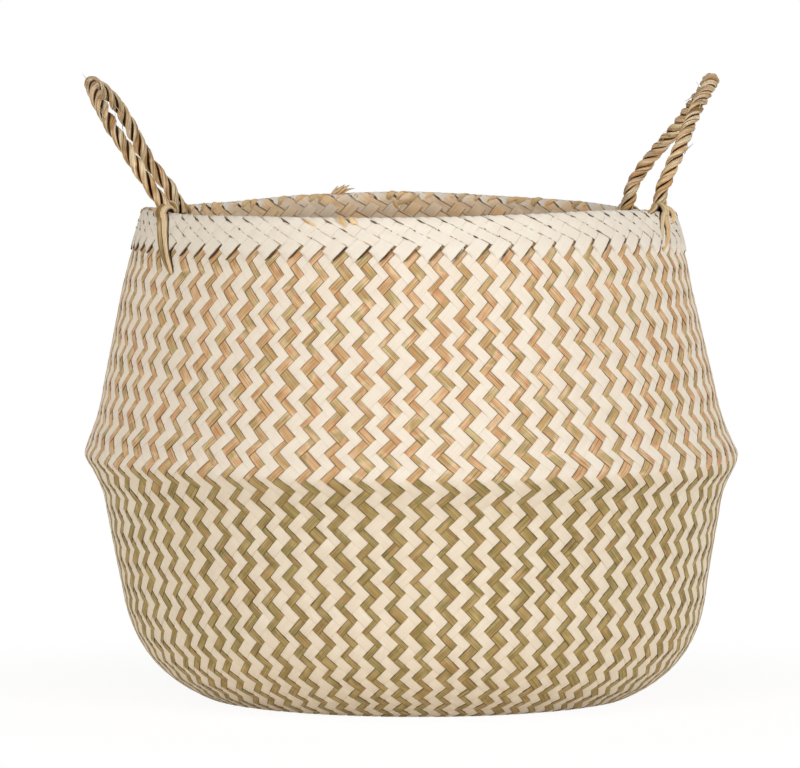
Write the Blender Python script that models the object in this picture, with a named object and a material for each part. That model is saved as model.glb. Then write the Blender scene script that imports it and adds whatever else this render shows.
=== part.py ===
# Belly basket: a plaited seagrass basket with a pinched belly, a turned-down white border
# and two twisted rope handles. Metres, +Z up, origin at the middle of the flat foot.
# The weave is one interlaced skin, built here as a base dish, a lower wall, a crease that folds
# and an upper wall. The border, the lashing loops and the two handles are pieces of their own.

import math

import bmesh
import bpy
from mathutils import Matrix, Vector
from mathutils.geometry import interpolate_bezier

# Sizes of the woven body, outside
foot_radius = 0.130
belly_radius = 0.1997
rim_radius = 0.1639
shoulder_height = 0.040
crease_height = 0.148
rim_height = 0.301
fold_height = 0.205
wall_thickness = 0.0024
base_thickness = 0.0024

# Gap between pieces that touch, and the border's gap to the sloping wall inside it
seam_gap = 0.0003
border_gap = 0.0004

# Turned-down border at the rim
flap_thickness = 0.0014
outer_flap_drop = 0.026
inner_flap_drop = 0.010

# Rope of three strands, and the loop of each handle. A handle's front and back root stand on
# the border this many facets either side of the X axis, each on the middle of a flat.
rope_diameter = 0.0105
strand_gap = 0.0004
left_handle_height = 0.0804
right_handle_height = 0.0774
left_root_facets = (3.5, 3.5)
right_root_facets = (2.5, 4.5)
left_lay_length = 0.035
right_lay_length = 0.024
left_rest_lean_deg = 35.5
right_rest_lean_deg = 31.0
# How far the front and back leg bow out of the loop's plane, and how much its top is gathered
left_leg_bows = (0.0035, 0.001)
right_leg_bows = (-0.006, 0.003)
top_gather_share = 0.25

# Lashing loops that tie each rope end round the border and through a hole in the wall
lashing_thickness = 0.0034
lashing_width = 0.0049
left_hole_drop = 0.0330
right_hole_drop = 0.0215
hole_clearance = 0.0009
hole_overrun = 0.003

# How finely the round shapes are faceted
wall_segments = 54
crown_steps = 4
corner_steps = 2
points_per_turn = 8
strand_count = 3
tube_resolution = 1
loop_end_steps = 7
loop_sides = 6
ellipse_steps = 400
solver_steps = 40
sharp_angle_deg = 40

# Outline of the lower half. Each point gives its share of the way out from the foot to the
# belly, and its share of the height of the crease: a knot, two handles, a knot, and so on.
lower_outline_shares = [
    (0.000, 0.000),
    (0.287, 0.061), (0.631, 0.162), (0.703, 0.453),
    (0.739, 0.554), (0.803, 0.709), (0.842, 0.824),
    (0.868, 0.885), (0.925, 0.926), (1.000, 1.000),
]
lower_outline_steps = [6, 2, 3]

# Outline of the upper half, as shares of the way in from the belly to the wall's top edge,
# and of the height from the crease to that edge.
upper_outline_shares = [
    (0.000, 0.000),
    (0.099, 0.063), (0.259, 0.146), (0.339, 0.279),
    (0.413, 0.365), (0.645, 0.640), (0.768, 0.796),
    (0.845, 0.868), (0.922, 0.940), (1.000, 1.000),
]
upper_outline_steps = [6, 3, 1]

# A lashing strand narrows and flattens towards its hole, to these shares of its crown
hole_width_share = 0.58
hole_thickness_share = 0.76

# A rope end is rounded off about its hinge axis: how far down the ball each ring lies
rope_end_angles_deg = [72, 52, 28]

# Finishes: base colour, roughness
white_strip_finish = ((0.87, 0.80, 0.71), 0.62)
lower_weave_finish = ((0.66, 0.58, 0.42), 0.66)
upper_weave_finish = ((0.76, 0.66, 0.50), 0.64)
rope_finish = ((0.55, 0.42, 0.25), 0.72)


def clear_scene():
    for old in list(bpy.data.objects):
        bpy.data.objects.remove(old, do_unlink=True)


def make_material(name, finish):
    color, roughness = finish
    material = bpy.data.materials.new(name)
    material.use_nodes = True
    shader = material.node_tree.nodes["Principled BSDF"]
    shader.inputs["Base Color"].default_value = (*color, 1)
    shader.inputs["Roughness"].default_value = roughness
    shader.inputs["Metallic"].default_value = 0
    return material


def add_mesh_object(name, mesh_data, finish):
    """Turns a bmesh into an object of its own, with its faces pointing out."""
    bmesh.ops.recalc_face_normals(mesh_data, faces=mesh_data.faces)
    mesh = bpy.data.meshes.new(name)
    mesh_data.to_mesh(mesh)
    mesh_data.free()
    mesh.shade_smooth()
    mesh.set_sharp_from_angle(angle=math.radians(sharp_angle_deg))
    mesh.materials.append(make_material(name + "_finish", finish))
    obj = bpy.data.objects.new(name, mesh)
    bpy.context.collection.objects.link(obj)
    return obj


def add_pivot(name, place, lean, turn):
    """An empty on a joint's axis, leaned about Y and then turned about Z."""
    pivot = bpy.data.objects.new(name, None)
    bpy.context.collection.objects.link(pivot)
    pivot.location = place
    pivot.rotation_euler = (0, lean, turn)
    return pivot


# Outlines, as lists of (radius, height)

def outline_through(shares, steps, start, end):
    """Samples a chain of Bezier curves whose points are shares of the way from start to end."""
    places = []
    for out_share, up_share in shares:
        radius = start[0] + (end[0] - start[0]) * out_share
        height = start[1] + (end[1] - start[1]) * up_share
        places.append(Vector((radius, height, 0)))
    outline = [places[0]]
    for index, count in enumerate(steps):
        first = 3 * index
        curve = interpolate_bezier(*places[first:first + 4], count + 1)
        outline.extend(curve[1:])
    return [(point[0], point[1]) for point in outline]


def radius_at(outline, height):
    """The outline's radius at a height, held at its two ends."""
    for (r0, z0), (r1, z1) in zip(outline, outline[1:]):
        if z0 <= height <= z1:
            return r0 + (r1 - r0) * (height - z0) / (z1 - z0)
    return outline[0][0] if height < outline[0][1] else outline[-1][0]


def cut_outline(outline, low, high):
    """The stretch of an outline between two heights, with a point at each."""
    inside = [(r, z) for r, z in outline if low < z < high]
    return [(radius_at(outline, low), low)] + inside + [(radius_at(outline, high), high)]


def inset_outline(outline, distance):
    """Moves an outline inwards along its normals. Its two ends stay at their heights."""
    moved = []
    last = len(outline) - 1
    for index, (r, z) in enumerate(outline):
        r0, z0 = outline[max(index - 1, 0)]
        r1, z1 = outline[min(index + 1, last)]
        length = math.hypot(r1 - r0, z1 - z0)
        slope_r, slope_z = (r1 - r0) / length, (z1 - z0) / length
        if index in (0, last):
            moved.append((r - distance / slope_z, z))
        else:
            moved.append((r - distance * slope_z, z + distance * slope_r))
    low, high = moved[0][1], moved[-1][1]
    return [moved[0]] + [p for p in moved[1:-1] if low < p[1] < high] + [moved[-1]]


def spin_section(section, closed=True):
    """Spins a section of (radius, height) points once round Z."""
    turned = bmesh.new()
    verts = [turned.verts.new((r, 0, z)) for r, z in section]
    following = verts[1:] + verts[:1] if closed else verts[1:]
    edges = [turned.edges.new(pair) for pair in zip(verts, following)]
    bmesh.ops.spin(
        turned, geom=verts + edges, cent=(0, 0, 0), axis=(0, 0, 1),
        angle=math.tau, steps=wall_segments, use_merge=True,
    )
    return turned


def wall_section(outline, low, high):
    """A wall's section between two heights: up its outer face and down its inner one."""
    outer = cut_outline(outline, low, high)
    return outer + inset_outline(outer, wall_thickness)[::-1]


# The woven skin

crown_radius = wall_thickness / 2 + border_gap + flap_thickness
crown_height = rim_height - crown_radius
wall_top_radius = rim_radius - flap_thickness - border_gap

lower_outline = outline_through(
    lower_outline_shares, lower_outline_steps, (foot_radius, 0), (belly_radius, crease_height)
)
upper_outline = outline_through(
    upper_outline_shares, upper_outline_steps,
    (belly_radius, crease_height), (wall_top_radius, crown_height),
)


def build_base():
    """The floor and the rounded foot that its weave turns up into, as one dish."""
    top = shoulder_height - seam_gap / 2
    outer = cut_outline(lower_outline, 0, top)
    inner = cut_outline(inset_outline(outer, wall_thickness), base_thickness, top)
    dish = spin_section(outer + inner[::-1], closed=False)
    floor_edges = [edge for edge in dish.edges if edge.is_boundary]
    bmesh.ops.holes_fill(dish, edges=floor_edges, sides=wall_segments)
    return add_mesh_object("base_weave", dish, lower_weave_finish)


def build_walls():
    lower_bottom = shoulder_height + seam_gap / 2
    lower_top = crease_height - seam_gap / 2
    crease_bottom = crease_height + seam_gap / 2
    crease_top = fold_height - seam_gap / 2
    upper_bottom = fold_height + seam_gap / 2
    lower = spin_section(wall_section(lower_outline, lower_bottom, lower_top))
    crease = spin_section(wall_section(upper_outline, crease_bottom, crease_top))
    upper = spin_section(wall_section(upper_outline, upper_bottom, crown_height))
    add_mesh_object("lower_wall", lower, lower_weave_finish)
    add_mesh_object("belly_crease", crease, upper_weave_finish)
    return add_mesh_object("upper_wall", upper, upper_weave_finish)


# The border

def border_outer_radius(height):
    """The border's outer face, which lies over the wall."""
    return radius_at(upper_outline, height) + border_gap + flap_thickness


def border_inner_radius(height):
    """The border's inner face, inside the wall."""
    return radius_at(upper_outline, height) - wall_thickness - border_gap - flap_thickness


crown_middle = rim_radius - crown_radius


def arc(middle, radius, start_deg, end_deg, steps):
    """Points along an arc, as (radius, height) pairs."""
    points = []
    for step in range(steps + 1):
        angle = math.radians(start_deg + (end_deg - start_deg) * step / steps)
        points.append((middle[0] + radius * math.cos(angle), middle[1] + radius * math.sin(angle)))
    return points


def build_border():
    """A band folded over the wall's top edge, with a deep outer flap and a short inner one."""
    outer_bottom = rim_height - outer_flap_drop
    inner_bottom = rim_height - inner_flap_drop
    middle = (crown_middle, crown_height)
    section = [(border_outer_radius(outer_bottom), outer_bottom)]
    section += arc(middle, crown_radius, 0, 180, crown_steps)
    section.append((border_inner_radius(inner_bottom), inner_bottom))
    section.append((border_inner_radius(inner_bottom) + flap_thickness, inner_bottom))
    section += arc(middle, crown_radius - flap_thickness, 180, 0, crown_steps)
    section.append((border_outer_radius(outer_bottom) - flap_thickness, outer_bottom))
    return add_mesh_object("rim_border", spin_section(section), white_strip_finish)


# The handles. A root is where a rope end meets the border, on the flat of a facet.

facet_angle = math.tau / wall_segments
flat_share = math.cos(facet_angle / 2)
root_radius = crown_middle * flat_share
rope_radius = rope_diameter / 2
loop_radius = crown_radius + seam_gap + lashing_thickness / 2
hinge_height = crown_height + loop_radius + lashing_thickness / 2 + seam_gap + rope_radius


def root_angles(root_facets):
    """How far a handle's middle is turned to the back, and half the angle between its roots."""
    front, back = root_facets
    return (back - front) / 2 * facet_angle, (back + front) / 2 * facet_angle


def loop_size(root_facets, handle_height, leg_bows):
    """Half the span between a handle's roots, its height, and how far its legs bow."""
    return root_radius * math.sin(root_angles(root_facets)[1]), handle_height, leg_bows


def neighbour_distance(helix_radius, lay_length):
    """The least distance between two neighbouring strands of a straight rope."""
    third = math.tau / strand_count
    least = math.inf
    for step in range(solver_steps + 1):
        turn = third * step / solver_steps
        across = 2 * helix_radius * math.sin(turn / 2)
        along = lay_length * (third - turn) / math.tau
        least = min(least, math.hypot(across, along))
    return least


def strand_radius_for(helix_radius, lay_length, tightest_bend):
    """How thick a strand may be, with the facets and the inside of the bend allowed for."""
    facet_radius = helix_radius * math.cos(math.pi / points_per_turn)
    bent_lay = lay_length * (1 - helix_radius / tightest_bend)
    return (neighbour_distance(facet_radius, bent_lay) - strand_gap) / 2


def solve_rope(lay_length, loop):
    """Finds the helix on which three strands just fill the rope's diameter."""
    half_span, height, _ = loop
    tightest_bend = (half_span * (1 - top_gather_share)) ** 2 / height
    low, high = 0, rope_radius
    for _ in range(solver_steps):
        helix_radius = (low + high) / 2
        strand_radius = strand_radius_for(helix_radius, lay_length, tightest_bend)
        if helix_radius + strand_radius > rope_radius:
            high = helix_radius
        else:
            low = helix_radius
    return low, strand_radius_for(low, lay_length, tightest_bend)


def loop_place(loop, angle):
    """A half ellipse, gathered at its top, whose legs bow out of its plane."""
    half_span, height, leg_bows = loop
    rise = math.sin(angle)
    reach = half_span * math.cos(angle) * (1 - top_gather_share * rise ** 2)
    bow = leg_bows[0] if reach > 0 else leg_bows[1]
    return Vector((bow * math.sin(math.pi * rise) ** 2, -reach, height * rise))


def measure_loop(loop):
    """Lengths along the handle's half ellipse, with the angle that gives each."""
    table = [(0, 0)]
    before = loop_place(loop, 0)
    for step in range(1, ellipse_steps + 1):
        angle = math.pi * step / ellipse_steps
        here = loop_place(loop, angle)
        table.append((table[-1][0] + (here - before).length, angle))
        before = here
    return table


def on_loop(loop, table, length):
    """The place on the loop at a length from its front root, and its direction there.
    Past either root the line runs straight down."""
    half_span = loop[0]
    total = table[-1][0]
    if length <= 0:
        return Vector((0, -half_span, length)), Vector((0, 0, 1))
    if length >= total:
        return Vector((0, half_span, total - length)), Vector((0, 0, -1))
    for (start, angle), (end, next_angle) in zip(table, table[1:]):
        if start <= length <= end:
            direction = loop_place(loop, next_angle) - loop_place(loop, angle)
            angle += (next_angle - angle) * (length - start) / (end - start)
            break
    return loop_place(loop, angle), direction.normalized()


def strand_stations(total, turns):
    """Lengths along the rope, each with its share of the full size. The ends are rounded."""
    ends = []
    for angle_deg in rope_end_angles_deg:
        angle = math.radians(angle_deg)
        ends.append((rope_radius * math.sin(angle), math.cos(angle)))
    stations = [(-depth, share) for depth, share in ends]
    count = turns * points_per_turn
    stations += [(total * step / count, 1) for step in range(count + 1)]
    stations += [(total + depth, share) for depth, share in reversed(ends)]
    return stations


def build_strand(name, pivot, loop, lay_length, phase):
    """One strand of a rope: a right-handed helix round the handle's half ellipse."""
    table = measure_loop(loop)
    total = table[-1][0]
    turns = round(total / lay_length)
    helix_radius, strand_radius = solve_rope(total / turns, loop)
    curve = bpy.data.curves.new(name, "CURVE")
    curve.dimensions = "3D"
    curve.bevel_depth = strand_radius
    curve.bevel_resolution = tube_resolution
    curve.use_fill_caps = True
    stations = strand_stations(total, turns)
    spline = curve.splines.new("POLY")
    spline.points.add(len(stations) - 1)
    for point, (length, share) in zip(spline.points, stations):
        place, direction = on_loop(loop, table, length)
        across = direction.cross(Vector((1, 0, 0))).normalized()
        side = across.cross(direction)
        angle = phase + math.tau * turns * length / total
        offset = side * math.cos(angle) + across * math.sin(angle)
        point.co = (*(place + offset * helix_radius * share), 1)
        point.radius = share
    curve.materials.append(make_material(name + "_finish", rope_finish))
    strand = bpy.data.objects.new(name, curve)
    bpy.context.collection.objects.link(strand)
    strand.parent = pivot
    return strand


def build_handle(side_name, direction, root_facets, height, lean_deg, leg_bows, lay_length):
    """Three strands laid up into a rope, on a pivot that leans outwards at rest."""
    turn, half_angle = root_angles(root_facets)
    hinge_distance = root_radius * math.cos(half_angle)
    place = (
        direction * hinge_distance * math.cos(turn), hinge_distance * math.sin(turn), hinge_height
    )
    lean = math.radians(lean_deg) * direction
    pivot = add_pivot(side_name + "_handle_pivot", place, lean, turn * direction)
    loop = loop_size(root_facets, height, [bow * direction for bow in leg_bows])
    for index in range(strand_count):
        name = f"{side_name}_handle_strand_{index + 1}"
        phase = math.tau * index / strand_count
        build_strand(name, pivot, loop, lay_length, phase)


# The lashings. Each is a long loop that stands across the border: over its crown, down
# outside, in through a hole in the wall and back up inside. Two strands lie side by side.

def lashing_path(hole_drop):
    """The loop's centreline as (radius, height, share of the way down to the hole)."""
    top = Vector((root_radius, crown_height))
    low_height = rim_height - hole_drop + loop_radius
    low_radius = (radius_at(upper_outline, low_height) - wall_thickness / 2) * flat_share
    low = Vector((low_radius, low_height))
    down = (low - top).normalized()
    out = Vector((-down.y, down.x))
    reach = (low - top).length + loop_radius
    path = []
    for centre, sign in ((top, 1), (low, -1)):
        for step in range(loop_end_steps + 1):
            angle = math.pi * step / loop_end_steps
            arm = out * math.cos(angle) - down * math.sin(angle)
            point = centre + arm * loop_radius * sign
            share = max((point - top).dot(down), 0) / reach
            path.append((point, share))
    return path


def build_lashing_strand(name, azimuth, hole_drop, side):
    """One strand of a lashing, with rings that narrow towards the hole, bridged in turn."""
    path = lashing_path(hole_drop)
    strand = bmesh.new()
    rings = []
    for index, (point, share) in enumerate(path):
        before = path[index - 1][0]
        after = path[(index + 1) % len(path)][0]
        along = (after - before).normalized()
        width = lashing_width * (1 + (hole_width_share - 1) * share)
        thickness = lashing_thickness * (1 + (hole_thickness_share - 1) * share)
        offset = side * (width + strand_gap) / 2
        frame = Matrix((
            (-along.y * thickness / 2, 0, along.x, point.x),
            (0, width / 2, 0, offset),
            (along.x * thickness / 2, 0, along.y, point.y),
            (0, 0, 0, 1),
        ))
        made = bmesh.ops.create_circle(strand, segments=loop_sides, radius=1, matrix=frame)
        rings.append(list({edge for vert in made["verts"] for edge in vert.link_edges}))
    for ring, following in zip(rings, rings[1:] + rings[:1]):
        bmesh.ops.bridge_loops(strand, edges=ring + following)
    turn = Matrix.Rotation(azimuth, 4, "Z")
    bmesh.ops.transform(strand, matrix=turn, verts=strand.verts)
    return add_mesh_object(name, strand, rope_finish)


def add_hole_cutter(name, azimuth, hole_drop):
    """A radial peg, left out of the build, that opens the slot for a lashing's two strands."""
    thickness = lashing_thickness * hole_thickness_share
    slant = math.asin(crown_radius / loop_radius)
    rise = loop_radius * (1 - math.cos(slant))
    width = 2 * lashing_width * hole_width_share + strand_gap + 2 * hole_clearance
    height = thickness / math.cos(slant) + rise + 2 * hole_clearance
    middle_height = rim_height - hole_drop + rise / 2
    outside = border_outer_radius(middle_height) + hole_overrun
    inside = border_inner_radius(middle_height) - hole_overrun
    place = Vector(((outside + inside) / 2, 0, middle_height))
    peg = bmesh.new()
    bmesh.ops.create_cube(peg, size=1)
    bmesh.ops.scale(peg, vec=(outside - inside, width, height), verts=peg.verts)
    radial_edges = [e for e in peg.edges if abs(e.verts[0].co.x - e.verts[1].co.x) > hole_overrun]
    bmesh.ops.bevel(
        peg, geom=radial_edges, offset=thickness / 4, offset_type="OFFSET",
        segments=corner_steps, profile=0.5, affect="EDGES",
    )
    bmesh.ops.translate(peg, vec=place, verts=peg.verts)
    bmesh.ops.rotate(peg, matrix=Matrix.Rotation(azimuth, 3, "Z"), verts=peg.verts)
    cutter = add_mesh_object(name, peg, rope_finish)
    cutter.hide_render = True
    cutter.display_type = "WIRE"
    return cutter


def cut_hole(target, cutter):
    cut = target.modifiers.new("cut_" + cutter.name, "BOOLEAN")
    cut.operation = "DIFFERENCE"
    cut.solver = "EXACT"
    cut.object = cutter


def build_lashings(side_name, direction, root_facets, hole_drop, targets):
    """The front and back lashing of one handle, two strands each, and their holes."""
    for end_name, sign, facets in zip(("front", "back"), (-1, 1), root_facets):
        angle = sign * facets * facet_angle
        azimuth = angle if direction > 0 else math.pi - angle
        root_name = f"{side_name}_{end_name}"
        for strand_name, side in (("a", -1), ("b", 1)):
            name = f"{root_name}_lashing_{strand_name}"
            build_lashing_strand(name, azimuth, hole_drop, side)
        cutter = add_hole_cutter(root_name + "_hole_cutter", azimuth, hole_drop)
        for target in targets:
            cut_hole(target, cutter)


def build_basket():
    clear_scene()
    build_base()
    upper_wall = build_walls()
    border = build_border()
    targets = (upper_wall, border)
    build_lashings("left", -1, left_root_facets, left_hole_drop, targets)
    build_lashings("right", 1, right_root_facets, right_hole_drop, targets)
    build_handle(
        "left", -1, left_root_facets, left_handle_height,
        left_rest_lean_deg, left_leg_bows, left_lay_length,
    )
    build_handle(
        "right", 1, right_root_facets, right_handle_height,
        right_rest_lean_deg, right_leg_bows, right_lay_length,
    )


build_basket()
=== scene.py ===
import math

import bmesh
import bpy
import numpy as np
from mathutils import Matrix, Vector


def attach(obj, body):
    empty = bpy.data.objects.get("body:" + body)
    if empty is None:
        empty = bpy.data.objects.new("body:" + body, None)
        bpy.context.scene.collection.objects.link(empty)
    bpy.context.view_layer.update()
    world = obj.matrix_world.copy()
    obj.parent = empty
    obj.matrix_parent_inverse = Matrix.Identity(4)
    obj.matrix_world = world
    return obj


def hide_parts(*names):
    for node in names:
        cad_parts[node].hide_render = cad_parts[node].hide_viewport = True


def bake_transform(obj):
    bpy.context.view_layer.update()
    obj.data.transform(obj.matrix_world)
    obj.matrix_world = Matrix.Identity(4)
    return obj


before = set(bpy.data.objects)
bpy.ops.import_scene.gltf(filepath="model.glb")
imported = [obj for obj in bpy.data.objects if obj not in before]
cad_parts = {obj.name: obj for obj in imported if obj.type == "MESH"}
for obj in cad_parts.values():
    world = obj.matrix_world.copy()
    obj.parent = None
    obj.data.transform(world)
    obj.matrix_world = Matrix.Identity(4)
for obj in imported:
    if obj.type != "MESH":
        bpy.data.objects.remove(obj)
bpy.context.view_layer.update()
print("frame loaded")

fullTurn = 2 * math.pi


def tint(red, green, blue):
    # a screen colour, 0 to 255, as the linear colour that a socket takes
    shares = [value / 255 for value in (red, green, blue)]
    linear = [v / 12.92 if v < 0.04045 else ((v + 0.055) / 1.055) ** 2.4 for v in shares]
    return (*linear, 1)


# camera, light and floor

viewpoint = {"place": (-0.0055, -4.893, 0.540), "aim": (-0.0055, 0, 0.1909), "lens": 360, "sensor": 36}
studio = {"ambient": 0.17, "ambientTint": (1, 0.94, 0.86, 1), "lampAim": (0, 0, 0.16), "floorSize": 16,
          "floorColour": tint(240, 237, 232), "bounceColour": tint(250, 243, 231), "floorGlow": 0.44,
          "fadeStart": 0.18, "fadeEnd": 0.42, "fadeLeast": 0.86}
lamps = {
    "leftKey": {"power": 47.5, "place": (-2.4, -2.3, 0.85), "size": 1.6, "tint": (1, 0.955, 0.885)},
    "rightKey": {"power": 59, "place": (2.4, -2.3, 1.0), "size": 1.6, "tint": (1, 0.975, 0.935)},
    "top": {"power": 14, "place": (0, -1.2, 2.7), "size": 1.6, "tint": (1, 0.975, 0.925)},
}


def addNode(tree, kind, **settings):
    node = tree.nodes.new(kind)
    for key, value in settings.items():
        setattr(node, key, value)
    return node


def wire(tree, source, target):
    # source is another node's output, or a constant
    if hasattr(source, "is_linked"):
        tree.links.new(source, target)
    else:
        target.default_value = source


def addMath(tree, operation, *values):
    node = addNode(tree, "ShaderNodeMath", operation=operation)
    for value, socket in zip(values, node.inputs):
        wire(tree, value, socket)
    return node.outputs[0]


def seenRays(tree):
    # 1 for what the camera sees, straight, mirrored or through glass
    path = addNode(tree, "ShaderNodeLightPath").outputs
    seen = addMath(tree, "MAXIMUM", path["Is Camera Ray"], path["Is Glossy Ray"])
    return addMath(tree, "MAXIMUM", seen, path["Is Transmission Ray"])


def addRange(tree, value, low, high, least=0, most=1, kind="SMOOTHSTEP"):
    node = addNode(tree, "ShaderNodeMapRange", interpolation_type=kind)
    for source, name in ((value, "Value"), (low, "From Min"), (high, "From Max"),
                         (least, "To Min"), (most, "To Max")):
        wire(tree, source, node.inputs[name])
    return node.outputs[0]


def addShader(tree, kind, **values):
    shader = addNode(tree, kind)
    for name, value in values.items():
        shader.inputs[name].default_value = value
    return shader.outputs[0]


def mixShaders(tree, share, first, second):
    mix = addNode(tree, "ShaderNodeMixShader")
    for value, socket in zip((share, first, second), mix.inputs):
        wire(tree, value, socket)
    return mix.outputs[0]


def showObject(name, data):
    thing = bpy.data.objects.new(name, data)
    bpy.context.scene.collection.objects.link(thing)
    return thing


def aimObject(name, data, place, aim):
    thing = showObject(name, data)
    thing.location = place
    thing.rotation_euler = (Vector(aim) - Vector(place)).to_track_quat("-Z", "Y").to_euler()
    return thing


def setCamera():
    data = bpy.data.cameras.new("photoCamera")
    data.lens, data.sensor_width = viewpoint["lens"], viewpoint["sensor"]
    camera = aimObject("photoCamera", data, viewpoint["place"], viewpoint["aim"])
    bpy.context.scene.camera = camera


def setSoftbox(name, look):
    light = bpy.data.lights.new(name, "AREA")
    light.energy, light.size, light.color = look["power"], look["size"], look["tint"]
    aimObject(name, light, look["place"], studio["lampAim"])


def setWorld():
    world = bpy.data.worlds.new("studio")
    bpy.context.scene.world = world
    world.use_nodes = True
    tree = world.node_tree
    tree.nodes.clear()
    ambient = addShader(tree, "ShaderNodeBackground", Color=studio["ambientTint"],
                        Strength=studio["ambient"])
    white = addShader(tree, "ShaderNodeBackground", Color=(1, 1, 1, 1))
    out = addNode(tree, "ShaderNodeOutputWorld")
    wire(tree, mixShaders(tree, seenRays(tree), ambient, white), out.inputs["Surface"])


def setFloor():
    shape = bmesh.new()
    bmesh.ops.create_grid(shape, x_segments=1, y_segments=1, size=studio["floorSize"] / 2)
    mesh = bpy.data.meshes.new("studioFloor")
    shape.to_mesh(mesh)
    shape.free()
    floor = showObject("studioFloor", mesh)
    material = bpy.data.materials.new("paleFloor")
    material.use_nodes = True
    tree = material.node_tree
    tree.nodes.clear()
    # what the camera sees fades to plain white away from the basket
    spot = addNode(tree, "ShaderNodeTexCoord")
    reach = addNode(tree, "ShaderNodeVectorMath", operation="LENGTH")
    wire(tree, spot.outputs["Object"], reach.inputs[0])
    fade = addRange(tree, reach.outputs["Value"], studio["fadeStart"], studio["fadeEnd"],
                    studio["fadeLeast"])
    near = addNode(tree, "ShaderNodeAddShader")
    plain = addShader(tree, "ShaderNodeBsdfDiffuse", Color=studio["floorColour"])
    wire(tree, plain, near.inputs[0])
    wire(tree, addShader(tree, "ShaderNodeEmission", Strength=studio["floorGlow"]), near.inputs[1])
    white = addShader(tree, "ShaderNodeEmission")
    seen = mixShaders(tree, fade, near.outputs[0], white)
    bounce = addShader(tree, "ShaderNodeBsdfDiffuse", Color=studio["bounceColour"])
    out = addNode(tree, "ShaderNodeOutputMaterial")
    wire(tree, mixShaders(tree, seenRays(tree), bounce, seen), out.inputs["Surface"])
    mesh.materials.append(material)


bpy.context.scene.view_settings.view_transform = "Standard"
setCamera()
setWorld()
for name, look in lamps.items():
    setSoftbox(name, look)
setFloor()
print("camera, light and floor set")


# the finishes, each made from grass grain

def grassGrainGroup():
    # Flow is (millimetres along a blade, -1 to 1 across it, the blade's number)
    group = bpy.data.node_groups.new("grassGrain", "ShaderNodeTree")
    face = group.interface
    face.new_socket("Flow", in_out="INPUT", socket_type="NodeSocketVector")
    half = face.new_socket("Half Width", in_out="INPUT", socket_type="NodeSocketFloat")
    half.default_value = 2.4
    for name in ("Streak", "Fibre", "Line", "Patch", "Drift", "EdgeShade", "Seam", "Height"):
        face.new_socket(name, in_out="OUTPUT", socket_type="NodeSocketFloat")
    source = addNode(group, "NodeGroupInput").outputs
    out = addNode(group, "NodeGroupOutput")
    split = addNode(group, "ShaderNodeSeparateXYZ")
    wire(group, source["Flow"], split.inputs[0])
    along, across, number = split.outputs
    spot = addNode(group, "ShaderNodeCombineXYZ")
    wide = addMath(group, "MULTIPLY", across, source["Half Width"])
    for value, socket in zip((along, wide, number), spot.inputs):
        wire(group, value, socket)

    def grain(stretch, detail):
        scaled = addNode(group, "ShaderNodeVectorMath", operation="MULTIPLY")
        scaled.inputs[1].default_value = stretch
        noise = addNode(group, "ShaderNodeTexNoise")
        noise.inputs["Scale"].default_value = 1
        noise.inputs["Detail"].default_value = detail
        wire(group, spot.outputs[0], scaled.inputs[0])
        wire(group, scaled.outputs[0], noise.inputs["Vector"])
        return noise.outputs["Fac"]

    # the stretches are cycles per millimetre along and across, and a step from blade to blade
    streak = addRange(group, grain((0.035, 1.3, 7.31), 3), 0.36, 0.64)
    fibre = addRange(group, grain((0.07, 5.5, 3.77), 2), 0.30, 0.70)
    # painted shade: each blade darkens towards its edges, where it meets its neighbours or dips under
    # them
    edge = addRange(group, addMath(group, "ABSOLUTE", across), 0.80, 1.0)
    # painted shade along the edges of painted strips, broken up along them
    broken = addRange(group, grain((0.24, 0.03, 6.61), 1), 0.44, 0.60)
    for name, value in (
            ("Streak", streak), ("Fibre", fibre), ("EdgeShade", edge),
            ("Line", addRange(group, grain((0.022, 2.9, 9.71), 3), 0.55, 0.66)),
            ("Patch", addRange(group, grain((0.11, 0.16, 5.13), 2), 0.38, 0.62)),
            ("Drift", grain((0.06, 0.04, 4.37), 1)),
            ("Seam", addMath(group, "MULTIPLY", edge, broken)),
            ("Height", addMath(group, "MULTIPLY_ADD", streak, 0.6, fibre))):
        wire(group, value, out.inputs[name])
    return group


grassGrain = grassGrainGroup()


def mixColour(tree, share, first, second, blend="MIX"):
    mix = addNode(tree, "ShaderNodeMix", data_type="RGBA", blend_type=blend)
    for value, index in ((share, 0), (first, 6), (second, 7)):
        wire(tree, value, mix.inputs[index])
    return mix.outputs[2]


def addLayers(tree, grain, colour, layers):
    # each layer: the grain's mask, its strength, its screen colour and how it is laid on
    for mask, strength, shade, blend in layers:
        share = addMath(tree, "MULTIPLY", grain.outputs[mask], strength)
        colour = mixColour(tree, share, colour, tint(*shade), blend)
    return colour


def readMark(tree, name, output):
    mark = addNode(tree, "ShaderNodeAttribute", attribute_name=name)
    return mark.outputs[output]


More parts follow.
